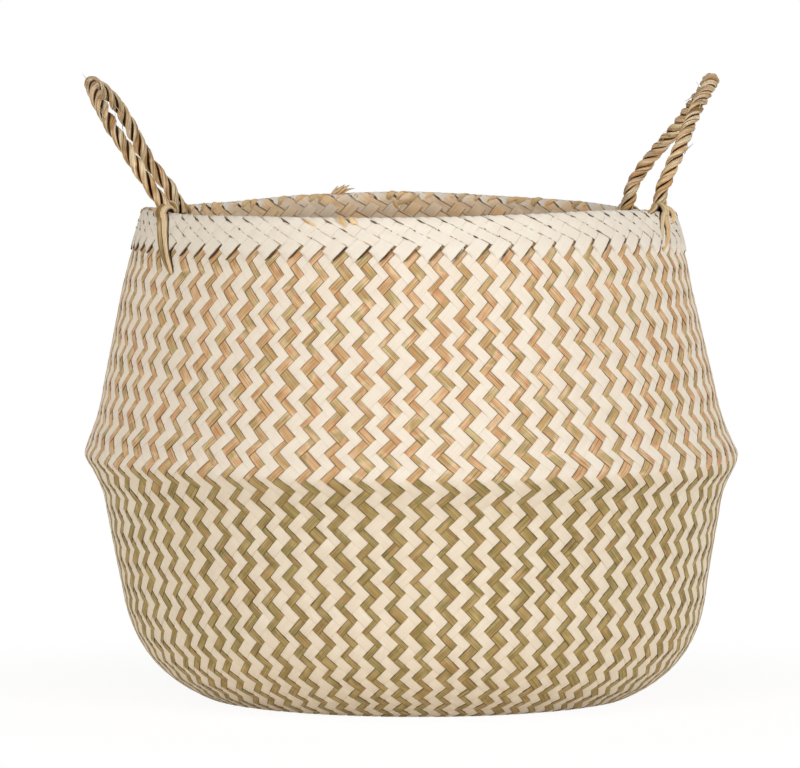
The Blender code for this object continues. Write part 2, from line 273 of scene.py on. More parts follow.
def grassMaterial(name, look):
    # natural blades, painted blades, or both where look["painted"] is "mark"
    material = bpy.data.materials.new(name)
    material.use_nodes = True
    tree = material.node_tree
    skin = tree.nodes["Principled BSDF"]
    grain = addNode(tree, "ShaderNodeGroup", node_tree=grassGrain)
    grain.inputs["Half Width"].default_value = look["halfWidth"]
    wire(tree, readMark(tree, "flow", "Vector"), grain.inputs["Flow"])
    tone = readMark(tree, "tone", "Fac")
    drift = addMath(tree, "MULTIPLY_ADD", grain.outputs["Drift"], look["drift"], tone)
    ramp = addNode(tree, "ShaderNodeValToRGB")
    colours = look["naturals"]
    while len(ramp.color_ramp.elements) < len(colours):
        ramp.color_ramp.elements.new(0.5)
    for index, colour in enumerate(colours):
        ramp.color_ramp.elements[index].position = index / (len(colours) - 1)
        ramp.color_ramp.elements[index].color = tint(*colour)
    wire(tree, addMath(tree, "PINGPONG", drift, 1), ramp.inputs[0])
    colour = natural = addLayers(tree, grain, ramp.outputs[0], (
        ("Streak", look["streak"], look["pale"], "MIX"),
        ("Patch", look["patch"], look["deep"], "MULTIPLY"),
        ("Fibre", look["fibre"], look["deep"], "MULTIPLY"),
        ("Line", look["line"], look["rim"], "MULTIPLY"),
        # painted shade along the blade's edges
        ("EdgeShade", look["edge"], look["rim"], "MULTIPLY")))
    if look["painted"]:
        # the last of the whites is the colour of the painted shade along the strip's edges
        first, second, blush, bright, dull, seamShadeColour = look["whites"]
        colour = paint = addLayers(
            tree, grain, mixColour(tree, tone, tint(*first), tint(*second)), (
                ("Patch", look["blush"], blush, "MIX"), ("Streak", look["wear"], bright, "MIX"),
                # painted shade along the edges of the painted strip
                ("Fibre", look["wear"], dull, "MIX"), ("Seam", look["whiteEdgeShade"], seamShadeColour, "MULTIPLY")))
        if look["painted"] == "mark":
            colour = mixColour(tree, readMark(tree, "paint", "Fac"), natural, paint)
    wire(tree, colour, skin.inputs["Base Color"])
    rough = addRange(tree, grain.outputs["Streak"], 0, 1, *look["roughness"], kind="LINEAR")
    wire(tree, rough, skin.inputs["Roughness"])
    skin.inputs["Specular IOR Level"].default_value = look["gloss"]
    bump = addNode(tree, "ShaderNodeBump")
    bump.inputs["Strength"].default_value = look["bump"]
    bump.inputs["Distance"].default_value = look["bumpDepth"]
    wire(tree, grain.outputs["Height"], bump.inputs["Height"])
    wire(tree, bump.outputs[0], skin.inputs["Normal"])
    return material


# the edge strength and the rim colour lay painted shade along each blade's edges; rim also colours the
# dark fibre lines
plainLook = {
    "halfWidth": 2.4, "painted": False, "streak": 0.50, "patch": 0.35, "fibre": 0.40, "line": 0.60,
    "edge": 0.92, "drift": 2.6,
    "pale": (250, 228, 192), "deep": (206, 170, 124), "rim": (116, 84, 46),
    "naturals": [(216, 184, 132), (226, 178, 138), (240, 215, 177), (186, 180, 128), (208, 172, 116),
                 (200, 188, 142), (220, 164, 120), (234, 205, 160), (178, 170, 124)],
    # the last of the whites is the painted shade along painted strips' edges
    "whites": [(247, 241, 231), (242, 235, 222), (241, 228, 217), (250, 246, 240),
               (233, 221, 202), (210, 188, 158)],
    "blush": 0.5, "wear": 0.40, "whiteEdgeShade": 0.25,
    "roughness": (0.62, 0.80), "gloss": 0.25, "bump": 0.4, "bumpDepth": 0.0002,
}
borderLook = {"painted": "mark", "halfWidth": 3.4, "streak": 0.7, "line": 0.3, "patch": 0.2,
              "fibre": 0.25, "deep": (230, 196, 150)}
borderWhites = ((245, 241, 234), (241, 235, 226), (240, 230, 220), (248, 246, 240), (234, 224, 209))
finishes = {
    "upperNatural": {},
    "upperWhite": {"painted": True},
    "lowerNatural": {
        "naturals": [(174, 160, 102), (190, 166, 114), (156, 148, 92), (178, 156, 100),
                     (200, 168, 120), (166, 158, 106), (152, 136, 86), (186, 170, 116)],
        "pale": (222, 204, 152), "deep": (190, 160, 112), "rim": (98, 76, 40)},
    "lowerWhite": {"painted": True,
                   "whites": [(247, 239, 225), (242, 232, 215), (237, 224, 207), (250, 244, 234),
                              (232, 217, 195), (210, 187, 156)]},
    # the last white of each border finish is the painted shade along the strips' edges
    "borderWhite": {**borderLook, "whiteEdgeShade": 0.85, "whites": [*borderWhites, (146, 118, 84)],
                    "naturals": [(255, 226, 182), (255, 220, 178), (252, 230, 184), (255, 234, 198)]},
    "borderRise": {**borderLook, "whiteEdgeShade": 0.30, "whites": [*borderWhites, (166, 140, 106)],
                   "naturals": [(255, 222, 176), (255, 216, 170), (250, 228, 182)]},
    # the rope and lashing strands darken fully towards their seams: painted shade between the strands
    "rope": {
        "halfWidth": 1.3, "streak": 0.85, "fibre": 0.50, "line": 0.85, "edge": 1.0, "drift": 1.6,
        "patch": 0.25, "bumpDepth": 0.00014, "gloss": 0.12,
        "pale": (255, 250, 226), "deep": (172, 122, 62), "rim": (84, 52, 22), "naturals": [
            (238, 204, 152), (250, 224, 178), (198, 162, 106), (230, 184, 132),
            (164, 132, 80), (244, 214, 164), (184, 156, 100), (234, 196, 142)]},
    "lashing": {
        "halfWidth": 1.4, "streak": 0.8, "fibre": 0.40, "line": 0.80, "edge": 1.0, "drift": 0.5,
        "patch": 0.12, "bump": 0.5, "bumpDepth": 0.00016, "gloss": 0.12,
        "pale": (255, 240, 208), "deep": (180, 136, 84), "rim": (50, 32, 14), "naturals": [
            (244, 202, 156), (240, 208, 160), (248, 224, 180), (208, 176, 124),
            (182, 160, 104), (152, 124, 76)]},
    "looseEnd": {"edge": 0.6, "drift": 0.5, "patch": 0.1, "streak": 0.7, "line": 0.4, "naturals": [
        (255, 222, 170), (255, 206, 158), (252, 214, 156), (255, 230, 190), (236, 204, 148),
        (206, 176, 120)]},
    # dark colours for the blades that stand in for shadow in the border's slits and beside its teeth
    "slitShadow": {"edge": 0.2, "drift": 0.5, "streak": 0.1, "line": 0.3, "naturals": [
        (70, 50, 28), (92, 72, 42), (60, 44, 26), (126, 104, 64), (152, 128, 84)]},
}
finish = {name: grassMaterial(name, {**plainLook, **look}) for name, look in finishes.items()}
print("finishes made")


# a blade is one strip or strand: a closed tube swept along its stations

def packRows(lengths, height, margin):
    # where each blade's row lies on the piece's own texture, and the size of the whole
    width = max(max(lengths), math.sqrt(sum(lengths) * height))
    places, x, y = [], 0, 0
    for length in lengths:
        if x + length > width:
            x, y = 0, y + height
        places.append((x, y))
        x += length + margin
    return places, max(width + margin, y + height)


stripAcross = (-1, 0, 1, 1, 0, -1, -1)
stripGirth = (0, 2.5, 5, 5.8, 8.3, 10.8, 11.6)
wideGirth = tuple(1.43 * place for place in stripGirth)


def tubeSection(sides, girth):
    # a round blade's places across it, which stop changing where it faces its neighbours, so the
    # painted edge shade is full there
    turns = np.linspace(-math.pi, math.pi, sides + 1)
    return {"across": np.clip(turns / (0.48 * math.pi), -1, 1),
            "girth": np.linspace(0, girth, sides + 1)}


def sweepBlades(name, blades, material, across=stripAcross, girth=stripGirth):
    # each blade: points (stations, sides, 3), along in millimetres, number, tone, paint
    counts = [len(blade["points"]) for blade in blades]
    total = sum(counts)
    sides = len(across) - 1
    shape = bmesh.new()
    bmesh.ops.create_grid(shape, x_segments=sides, y_segments=total - 1, size=1)
    shape.faces.ensure_lookup_table()
    ends = np.cumsum(counts)[:-1] - 1
    bridges = [shape.faces[row * sides + side] for row in ends for side in range(sides)]
    bmesh.ops.delete(shape, geom=bridges, context="FACES")
    mesh = bpy.data.meshes.new(name)
    shape.to_mesh(mesh)
    around = [*range(sides), 0]
    points = np.concatenate([blade["points"] for blade in blades])[:, around]
    mesh.vertices.foreach_set("co", points.reshape(-1).astype(np.float32))
    flow = np.zeros((total, sides + 1, 3), np.float32)
    flow[:, :, 0] = np.concatenate([blade["along"] for blade in blades])[:, None]
    flow[:, :, 1] = np.array(across)
    flow[:, :, 2] = np.concatenate(
        [np.full(count, blade["number"]) for count, blade in zip(counts, blades)])[:, None]
    mark = mesh.attributes.new("flow", "FLOAT_VECTOR", "POINT")
    mark.data.foreach_set("vector", flow.reshape(-1))
    for key in ("tone", "paint"):
        value = np.concatenate([
            np.broadcast_to(np.asarray(blade[key], np.float32), (count,))
            for count, blade in zip(counts, blades)])
        mark = mesh.attributes.new(key, "FLOAT", "POINT")
        mark.data.foreach_set("value", np.repeat(value, sides + 1).astype(np.float32))
    lengths = [float(blade["along"][-1] - blade["along"][0]) for blade in blades]
    places, size = packRows(lengths, girth[-1] + 1.4, 1.0)
    rows = []
    for blade, (x, y) in zip(blades, places):
        u = x + blade["along"] - blade["along"][0]
        row = np.stack(np.broadcast_arrays(u[:, None], y + np.array(girth)[None, :]), axis=2)
        rows.append(row.reshape(-1, 2))
    spots = np.concatenate(rows) / size
    layer = mesh.uv_layers.new(name="OFBake")
    corner = np.empty(len(mesh.loops), np.int32)
    mesh.loops.foreach_get("vertex_index", corner)
    layer.data.foreach_set("uv", spots[corner].reshape(-1).astype(np.float32))
    shape.clear()
    shape.from_mesh(mesh)
    bmesh.ops.remove_doubles(shape, verts=shape.verts, dist=1e-6)
    bmesh.ops.holes_fill(shape, edges=[e for e in shape.edges if e.is_boundary], sides=sides)
    bmesh.ops.recalc_face_normals(shape, faces=shape.faces)
    for face in shape.faces:
        face.smooth = True
    shape.to_mesh(mesh)
    shape.free()
    mesh.set_sharp_from_angle(angle=math.radians(50))
    mesh.materials.append(material)
    piece = showObject(name, mesh)
    print(name, len(blades), "blades,", sum(len(p.vertices) - 2 for p in mesh.polygons), "triangles")
    return piece


# the basket's outline and its weave

outline = {
    "foot": (0.130, 0), "belly": (0.1997, 0.148), "top": (0.1621, 0.298),
    "lowerShares": ((0, 0), (0.287, 0.061), (0.631, 0.162), (0.703, 0.453), (0.739, 0.554),
                    (0.803, 0.709), (0.842, 0.824), (0.868, 0.885), (0.925, 0.926), (1, 1)),
    "upperShares": ((0, 0), (0.099, 0.063), (0.259, 0.146), (0.339, 0.279), (0.413, 0.365),
                    (0.645, 0.640), (0.768, 0.796), (0.845, 0.868), (0.922, 0.940), (1, 1)),
    "creaseRound": 0.55, "creaseNear": 1.6, "bellyNear": 5,
    "wobble": 0.0008, "waves": ((0.6, 2, 0.7, 0.02), (0.4, 5, 2.1, -0.05)),
    "leanHeights": (0, 0.03, 0.08, 0.14, 0.156, 0.20, 0.25, 0.285),
    "leanShifts": (0.0050, 0.0045, 0.0032, 0.0026, 0.0009, 0, -0.0012, 0),
    # how far the mouth sags, in millimetres, at places round it in degrees from the right
    "sags": ((-180, 1.2), (-160, 1.0), (-145, 1.6), (-127, 0.3), (-90, -0.3), (-54, -2.0),
             (-43, -2.4), (-33, -1.0), (-25, 0.6), (-12, 2.0), (0, 3.0), (15, 5.4), (29, 7.0),
             (37, 5.6), (44, 4.0), (57, 2.8), (67, 2.1), (76, 0.8), (90, -0.8), (110, 0.4),
             (120, 1.4), (131, 3.8), (143, 3.9), (161, 4.4), (170, 3.0), (180, 1.2)),
    "sagStart": 0.232, "sagFull": 0.284,
}
weave = {
    "quarter": 37, "lowerRows": 43, "upperRows": 38, "thickness": 0.00075, "crown": 0.00014,
    "lift": 0.00038, "gap": 0.016, "jitter": 0.19, "whiteBias": 0.08, "wander": 0.05,
    "edgeReach": 0.28, "floatLift": 1.18, "shoulderRings": (55, 56), "creaseRings": (79, 80),
    "matPitch": 0.0042, "rowLength": 4.3, "raise": 0.00033, "unevenness": 0.00003,
}
quarter = weave["quarter"]
stripCount = 4 * quarter
creaseRing = quarter + weave["lowerRows"]
topRing = creaseRing + weave["upperRows"]


def traceOutline(start, end, shares):
    knots = np.array(shares, float)
    t = np.linspace(0, 1, 60)[:, None]
    parts = []
    for first in range(0, len(knots) - 1, 3):
        a, b, c, d = knots[first:first + 4]
        curve = (1 - t) ** 3 * a + 3 * (1 - t) ** 2 * t * b + 3 * (1 - t) * t ** 2 * c + t ** 3 * d
        parts.append(curve[1:] if parts else curve)
    return np.array(start) + np.concatenate(parts) * (np.array(end) - np.array(start))


def runLengths(points):
    return np.concatenate([[0], np.cumsum(np.linalg.norm(np.diff(points, axis=0), axis=1))])


def measureWall():
    # radius, height and outward direction at every tenth of a ring of crossings
    lower = traceOutline(outline["foot"], outline["belly"], outline["lowerShares"])
    upper = traceOutline(outline["belly"], outline["top"], outline["upperShares"])
    low, high = runLengths(lower), runLengths(upper)
    rings = np.concatenate([quarter + weave["lowerRows"] * low / low[-1],
                            creaseRing + weave["upperRows"] * high[1:] / high[-1]])
    points = np.concatenate([lower, upper[1:]])
    fine = np.arange(quarter, topRing + 0.05, 0.1)
    radius = np.interp(fine, rings, points[:, 0])
    height = np.interp(fine, rings, points[:, 1])
    reach = np.arange(-30, 31) * 0.1
    bell = np.exp(-0.5 * (reach / outline["creaseRound"]) ** 2)
    bell /= bell.sum()
    near = np.exp(-((fine - creaseRing) / outline["creaseNear"]) ** 2)
    for line in (radius, height):
        soft = np.convolve(np.pad(line, 30, mode="edge"), bell, mode="valid")
        line += (soft - line) * near
    belly = np.exp(-((fine - creaseRing) / outline["bellyNear"]) ** 2)
    radius += (outline["belly"][0] - radius.max()) * belly
    dr, dz = np.gradient(radius), np.gradient(height)
    length = np.hypot(dr, dz)
    return fine, radius, height, dz / length, -dr / length, high[-1] / weave["upperRows"]


ringTable, radiusTable, heightTable, outRadius, outHeight, upperRow = measureWall()


sagAngles = np.arange(-180, 181, 3)
sagTable = np.interp(sagAngles, *np.array(outline["sags"]).T) / 1000
sagTable = np.convolve(np.pad(sagTable[:-1], 3, mode="wrap"), np.hanning(9)[1:-1] / 4, mode="valid")


def mouthSag(angle):
    return np.interp(np.degrees(angle), sagAngles[:-1], sagTable, period=360)


def wallPoint(angle, ring, out):
    # a point of the wall, out metres outside its outline
    radius = np.interp(ring, ringTable, radiusTable) + np.interp(ring, ringTable, outRadius) * out
    height = np.interp(ring, ringTable, heightTable) + np.interp(ring, ringTable, outHeight) * out
    share = np.clip((ring - quarter) / (topRing - quarter), 0, 1)
    wave = sum(part * np.sin(count * angle + start + ring * drift)
               for part, count, start, drift in outline["waves"])
    radius = radius + outline["wobble"] * wave * np.sin(math.pi * share)
    lean = np.interp(height, outline["leanHeights"], outline["leanShifts"])
    share = np.clip((height - outline["sagStart"]) / (outline["sagFull"] - outline["sagStart"]), 0, 1)
    height = height - mouthSag(angle) * share * share * (3 - 2 * share)
    return np.stack([radius * np.cos(angle) + lean, radius * np.sin(angle), height], axis=-1)


def weavePoint(quadrant, a, b, out):
    # a and b count strips from the middle of the base within one quarter of the basket
    ring = a + b
    inset = weave["thickness"]
    angle = ((2 * quadrant + 1) * quarter - a + b) / 2 * fullTurn / stripCount
    wall = wallPoint(angle, np.clip(ring, quarter, topRing), out - inset)
    safe = np.maximum(ring, 1e-6)
    matAngle = (quadrant + b / safe) * math.pi / 2
    share = np.clip(ring / quarter, 0, 1)
    share = share * share * (3 - 2 * share)
    roundRadius = radiusTable[0] * ring / quarter
    turned = quadrant * math.pi / 2
    straightX = (a * math.cos(turned) - b * math.sin(turned)) * weave["matPitch"]
    straightY = (a * math.sin(turned) + b * math.cos(turned)) * weave["matPitch"]
    mat = np.stack([
        (1 - share) * straightX + share * roundRadius * np.cos(matAngle) + outline["leanShifts"][0],
        (1 - share) * straightY + share * roundRadius * np.sin(matAngle),
        np.broadcast_to(inset - out, np.shape(ring)),
    ], axis=-1)
    return np.where((ring > quarter)[..., None], wall, mat) + np.array([0, 0, weave["raise"]])


class stripEdges:
    # the lines between neighbouring strips of one family, each a little off its place
    def __init__(self, family, seed):
        draw = np.random.default_rng(seed)
        number = np.arange(stripCount)
        whiteAfter = number % 2 == family
        self.shift = np.where(whiteAfter, -1, 1) * weave["whiteBias"]
        self.shift = self.shift + draw.uniform(-1, 1, stripCount) * weave["jitter"]
        self.wander = draw.uniform(0.3, 1, stripCount) * weave["wander"]
        self.pace = draw.uniform(0.25, 0.7, stripCount)
        self.phase = draw.uniform(0, fullTurn, stripCount)
        fixed = number % quarter == 0
        self.shift[fixed] = 0
        self.wander[fixed] = 0

    def at(self, number, ring):
        n = number % stripCount
        return self.shift[n] + self.wander[n] * np.sin(self.pace[n] * ring + self.phase[n])


def stripStations(start, stop, outside):
    # ring, level, and the ring whose far line the station keeps beside, or -1; a start
    # between rings is the mat's middle
    stations = [] if float(start).is_integer() else [(start, 0, -1)]
    ring = math.ceil(start)
    while ring <= stop:
        last = ring
        while last < stop and outside(last + 1) == outside(ring):
            last += 1
        level = 1 if outside(ring) else -1
        if ring == start:
            stations.append((ring, level, -1))
        else:
            stations.append((ring - weave["edgeReach"], level, ring - 1))
        if last > ring:
            stations.append(((ring + last) / 2, level * weave["floatLift"], -1))
        if last == stop:
            stations.append((last, level, -1))
        else:
            stations.append((last + weave["edgeReach"], level, last))
        ring = last + 1
    return np.array(stations, float)


def isRising(ring):
    # the rings where the strips that rise to the right lie outside
    return ring % 4 in (0, 1)


def isSinking(ring):
    return ring % 4 in (2, 3)


edgeLines = (stripEdges(0, 11), stripEdges(1, 12))
tones = np.random.default_rng(5).uniform(0, 1, (2, stripCount))


def weaveBlades(cuts, white):
    # cuts: the lowest and highest ring of each family, None for the middle of the base
    draw = np.random.default_rng(21)
    blades = []
    for family, outside in enumerate((isRising, isSinking)):
        low, high = cuts[0][family], cuts[1][family]
        for quadrant in range(4):
            for step in range(quarter):
                middle = step + 0.5
                if family == 0:
                    before = (quadrant + 1) * quarter - step - 1
                else:
                    before = quadrant * quarter + step
                if (before % 2 == family) != white:
                    continue
                start = middle if low is None else low
                stations = stripStations(start, high, outside)
                beside = stations[:, 2].astype(int)
                ring = stations[:, 0]
                if family == 0:
                    bend = edgeLines[1].at(quadrant * quarter + beside - step, ring)
                else:
                    bend = -edgeLines[0].at((quadrant + 1) * quarter - beside + step, ring)
                ring = ring + np.where(beside < 0, 0, bend)
                first = before + edgeLines[family].at(before, ring) + weave["gap"]
                second = before + 1 + edgeLines[family].at(before + 1, ring) - weave["gap"]
                if family == 0:
                    first = (quadrant + 1) * quarter - first
                    second = (quadrant + 1) * quarter - second
                else:
                    first = first - quadrant * quarter
                    second = second - quadrant * quarter
                lift = stations[:, 1] * weave["lift"] + draw.normal(0, weave["unevenness"], len(ring))
                half, crown = weave["thickness"] / 2, weave["crown"]
                sections = []
                for place, out in ((first, half), ((first + second) / 2, half + crown),
                                   (second, half), (second, -half),
                                   ((first + second) / 2, -half), (first, -half)):
                    other = ring - middle
                    pair = (place, other) if family == 0 else (other, place)
                    sections.append(weavePoint(quadrant, *pair, lift + out))
                blades.append({
                    "points": np.stack(sections, axis=1), "along": ring * weave["rowLength"],
                    "number": family * 200 + before + 1, "tone": tones[family][before % stripCount],
                    "paint": 1.0 if white else 0.0,
                })
    return blades


middleCut = (None, None)
topCut = (topRing, topRing)
shoulderCut, creaseCut = weave["shoulderRings"], weave["creaseRings"]
wallPieces = (
    ("baseWhite", middleCut, shoulderCut, True, "lowerWhite", "base_weave"),
    ("baseNatural", middleCut, shoulderCut, False, "lowerNatural", "base_weave"),
    ("lowerWallWhite", shoulderCut, creaseCut, True, "lowerWhite", "lower_wall"),
    ("lowerWallNatural", shoulderCut, creaseCut, False, "lowerNatural", "lower_wall"),
    ("upperWallWhite", creaseCut, topCut, True, "upperWhite", "upper_wall"),
    ("upperWallNatural", creaseCut, topCut, False, "upperNatural", "upper_wall"),
)
for name, low, high, white, look, node in wallPieces:
    piece = sweepBlades(name, weaveBlades((low, high), white), finish[look])
    if node == "upper_wall":
        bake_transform(piece)
        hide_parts(node, "belly_crease")
    else:
        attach(piece, "basket")
        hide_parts(node)
print("weave done")


# the border: white strips turned down over the rim and plaited into one another

border = {
    "pairs": 74, "radius": 0.1639, "crownMiddle": 0.1609, "crownHeight": 0.298, "wall": 0.0024,
    "wrapRadius": 0.0023, "crownStart": 0.003, "offset": 0.0011, "lift": 0.00035,
    "thickness": 0.0007, "crown": 0.00012, "sinkSlope": 1.805, "notch": 0.0174, "toothWidth": 1.66,
    "gap": 0.00005, "jitter": 0.0004, "tipLevel": -2.6, "insidePaint": 0.55, "crossPaint": 0.60,
}
pairLength = fullTurn * border["radius"] / border["pairs"]
riseSlope = fullTurn * border["radius"] / (2 * stripCount) / upperRow
tipDepth = border["crownStart"] + 6 * upperRow
crossLength = pairLength / (border["sinkSlope"] + riseSlope)
riseStep = np.array([riseSlope, -1]) * crossLength


def borderPoint(spot, out):
    # spot: metres round the rim and metres below its top; negative past the top is inside
    angle = spot[..., 0] / border["radius"]
    depth = spot[..., 1]
    ring = topRing - np.maximum(depth - border["crownStart"], 0) / upperRow
    outer = wallPoint(angle, ring, out)
    turn = (border["crownStart"] - depth) / border["wrapRadius"]
    arm = border["radius"] - border["crownMiddle"] - border["offset"] - border["thickness"] + out
    bend = np.clip(turn, 0, math.pi)
    radius = border["crownMiddle"] + arm * np.cos(bend)
    height = border["crownHeight"] + arm * np.sin(bend) - mouthSag(angle)
    crown = np.stack([radius * np.cos(angle), radius * np.sin(angle), height], axis=-1)
    inRing = topRing - np.maximum(turn - math.pi, 0) * border["wrapRadius"] / upperRow
    inner = wallPoint(angle, inRing, -border["wall"] - out)
    point = np.where((turn > 0)[..., None], crown, outer)
    return np.where((turn > math.pi)[..., None], inner, point)


def borderBlade(lower, upper, levels, number, tone, paint):
    # a strip between two edges, each a list of spots, at levels above and below its middle
    half, crown = border["thickness"] / 2, border["crown"]
    lift = border["offset"] + np.array(levels) * border["lift"]
    middle = (lower + upper) / 2
    sections = [borderPoint(spot, lift + out) for spot, out in (
        (lower, half), (middle, half + crown), (upper, half),
        (upper, -half), (middle, -half), (lower, -half))]
    along = runLengths(middle) * 1000
    return {"points": np.stack(sections, axis=1), "along": along, "number": number,
            "tone": tone, "paint": paint}


def tipPlace(pair):
    return fullTurn * (2 * pair + (2 * quarter + 3) / 2) / stripCount * border["radius"]


# each station: metres below the rim's top, and the level
sinkStations = (
    (-0.0225, -0.8), (-0.0210, 0.2), (-0.0160, 0.4), (-0.0110, 0.4), (-0.0070, 0.4),
    (-0.0044, 0.7), (-0.0034, 0.9), (-0.0024, 1), (-0.0014, 1), (-0.0004, 1),
    (0.0006, 1), (0.0016, 1), (0.0028, 1), (0.0044, 1), (0.0059, -1),
    (0.0088, -1), (0.0103, 1), (0.0123, 1.1), (0.0144, 1), (0.0159, -1), (0.0186, -1.2),
)
innerStations = ((-0.0178, -1), (-0.0163, 1.5), (-0.0133, 1.6), (-0.0103, 1.5), (-0.0088, -0.8))
riseStations = (
    (0.0045, -1), (0.0066, -1), (0.0081, 1), (0.0100, 1.1), (0.0117, 1), (0.0133, -1),
    (0.0169, -1), (0.0185, 1), (0.0205, 1.1), (0.0228, 1), (0.0252, 0.7),
)


def sinkingBlades():
    draw = np.random.default_rng(31)
    shift = draw.uniform(-1, 1, border["pairs"]) * border["jitter"]
    blades = []
    depth, level = np.array(sinkStations).T
    unit = riseStep / np.linalg.norm(riseStep)
    for pair in range(border["pairs"]):
        start = tipPlace(pair) + (tipDepth - border["notch"]) * riseSlope
        run = border["sinkSlope"] * (depth - border["notch"] - riseStep[1] / 2)
        middle = np.stack([start + riseStep[0] / 2 + run, depth], axis=-1)
        lower = middle - riseStep / 2 + unit * (border["gap"] + shift[pair])
        upper = middle + riseStep / 2 - unit * (border["gap"] - shift[(pair + 1) % border["pairs"]])
        inside = depth < -border["crownStart"]
        paint = np.where(inside, draw.uniform(0, border["insidePaint"]), 1.0)
        blades.append(borderBlade(lower, upper, level, 500 + pair, draw.random(), paint))
    return blades


def risingBlades():
    draw = np.random.default_rng(32)
    blades = []
    depth, level = np.array(riseStations).T
    width = border["toothWidth"] * pairLength / 2 / (border["sinkSlope"] + riseSlope)
    for pair in range(border["pairs"]):
        tip = tipPlace(pair)
        right = np.stack([tip + (tipDepth - depth) * riseSlope, depth], axis=-1)
        left = right - np.array([border["sinkSlope"], 1]) * width * draw.uniform(0.96, 1.02)
        end = np.array([[tip, tipDepth]])
        back = np.array([[tip - border["toothWidth"] * pairLength / 4,
                          tipDepth - border["toothWidth"] * upperRow]])
        right, left = np.concatenate([right, end]), np.concatenate([left, back])
        levels = np.append(level, border["tipLevel"])
        blades.append(borderBlade(left, right, levels, 600 + pair, draw.random(), 1.0))
    depth, level = np.array(innerStations).T
    for pair in range(border["pairs"]):
        # the short crossing strips on the border's inside
        start = tipPlace(pair) + draw.uniform(-0.0006, 0.0006)
        left = np.stack([start - depth * riseSlope, depth], axis=-1)
        right = left + np.array([border["sinkSlope"], 1]) * width * 0.9
        blades.append(borderBlade(left, right, level, 800 + pair, draw.random(),
                                  draw.uniform(0, border["crossPaint"])))
    return blades


# painted shadow in the slits between the border's strips, laid as dark blades; each row: depth, share
# of the pairs, shortest, longest and width
slitShadows = {"rows": ((0.0030, 0.75, 0.0040, 0.0085, 0.00095), (0.0086, 0.80, 0.0012, 0.0052, 0.00085),
                  (0.0132, 0.60, 0.0010, 0.0042, 0.00075)),
         "proud": 0.0003, "slant": (0.87, 0.48), "taper": (0.3, 1, 0.9, 0.3),
         # the tooth entries set the painted shadow lines beside the border's teeth
         "toothShadowShare": 0.85, "toothWidth": 0.0013, "toothShadowLevel": -0.4}


def slitShadowBlades():
    # dark blades laid on the border as painted shadow, where the gaps between its crossing strips and
    # beside its teeth fall in shade
    draw = np.random.default_rng(33)
    blades = []
    taper = np.array(slitShadows["taper"])[:, None]
    shares = np.linspace(0, 1, 4)[:, None]
    for pair in range(border["pairs"]):
        start = tipPlace(pair) + (tipDepth - border["notch"]) * riseSlope
        for depth, share, shortest, longest, width in slitShadows["rows"]:
            length = shortest + (longest - shortest) * draw.random() ** 2
            place = start + border["sinkSlope"] * (depth - border["notch"]) + draw.normal(0, 0.0002)
            if draw.random() > share:
                continue
            run = (shares - 0.5) * np.array([slitShadows["slant"]]) * length
            middle = np.array([[place, depth]]) + run
            half = taper * np.array([[0, width * draw.uniform(0.6, 1.2) / 2]])
            levels = np.full(4, 1 + slitShadows["proud"] / border["lift"])
            blades.append(borderBlade(
                middle + half, middle - half, levels, 700 + pair, draw.random(), 0.0))
        # a dark blade along the tooth's lower edge, painted shadow where the tooth stands off the wall
        if draw.random() < slitShadows["toothShadowShare"]:
            reach = tipDepth - border["notch"]
            first, last = draw.uniform(0, 0.2), draw.uniform(0.65, 1.0)
            rise = reach * (first + (last - first) * shares)
            edge = np.concatenate([tipPlace(pair) + rise * riseSlope, tipDepth - rise], axis=1)
            wide = taper * slitShadows["toothWidth"] * draw.uniform(0.5, 1.1) * np.array([[1, 0.5]])
            levels = np.full(4, slitShadows["toothShadowLevel"])
            blades.append(borderBlade(
                edge + wide, edge, levels, 900 + pair, draw.uniform(0, 0.5), 0.0))
    return blades


for name, blades, look in (("borderSinking", sinkingBlades(), "borderWhite"),
                           ("borderRising", risingBlades(), "borderRise"),
                           # the border's slits and the sides of its teeth get dark blades as painted
                           # shadow
                           ("borderSlitShadows", slitShadowBlades(), "slitShadow")):
    piece = sweepBlades(name, blades, finish[look], girth=wideGirth)
    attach(piece, "rim")
    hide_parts("rim_border")
print("border done")


# the two rope handles

facetAngle = fullTurn / 54
handles = {
    "left": {"side": -1, "rootFacets": (3.5, 3.5), "height": 0.0804, "lean": 35.5, "turns": 6,
             "frontBow": (4.3, 4.4, 4.2, 3.6, 3.2, 3.7, 2.6, 1.6, 0.1),
             "backBow": (1.9, 2.5, 2.9, 1.4, -0.6, -1.7, -3.3, -1.9, 0.1),
             "turnDown": (0, 0.2), "tones": (0.05, 0.62, 0.40)},
    "right": {"side": 1, "rootFacets": (2.5, 4.5), "height": 0.0774, "lean": 31.0, "turns": 9,
              "frontBow": (-1.4, -2.6, -3.6, -4.2, -4.8, -5.3, -5.1, -3.0, -0.4),
              "backBow": (0.2, 0.5, 1.2, 2.4, 3.5, 4.0, 3.5, 2.4, -0.4),
              "turnDown": (0.9, 0.55), "tones": (0.18, 0.52, 0.86)},
}
rope = {"strands": 3, "strandRadius": 0.00212, "helixRadius": 0.00220, "sides": 15, "gather": 0.25,
        "rootRadius": 0.16063, "hingeHeight": 0.31025, "stepsPerTurn": 28,
        "overruns": (0.0125, 0.019), "swell": 0.07, "swellPace": (260, 420),
        "ridge": 0.09, "ridges": 5, "ridgePace": 520, "hairs": 16, "hairRoot": 0.0041,
        "hairLength": (0.006, 0.013), "hairSizes": (0.00022, 0.0002, 0.00016, 0.00012, 0.00006)}
# the bows are millimetres at these shares of the handle's height
bowRises = (0, 0.12, 0.25, 0.38, 0.5, 0.6, 0.75, 0.9, 1)
ropeSection = tubeSection(rope["sides"], 15.6)


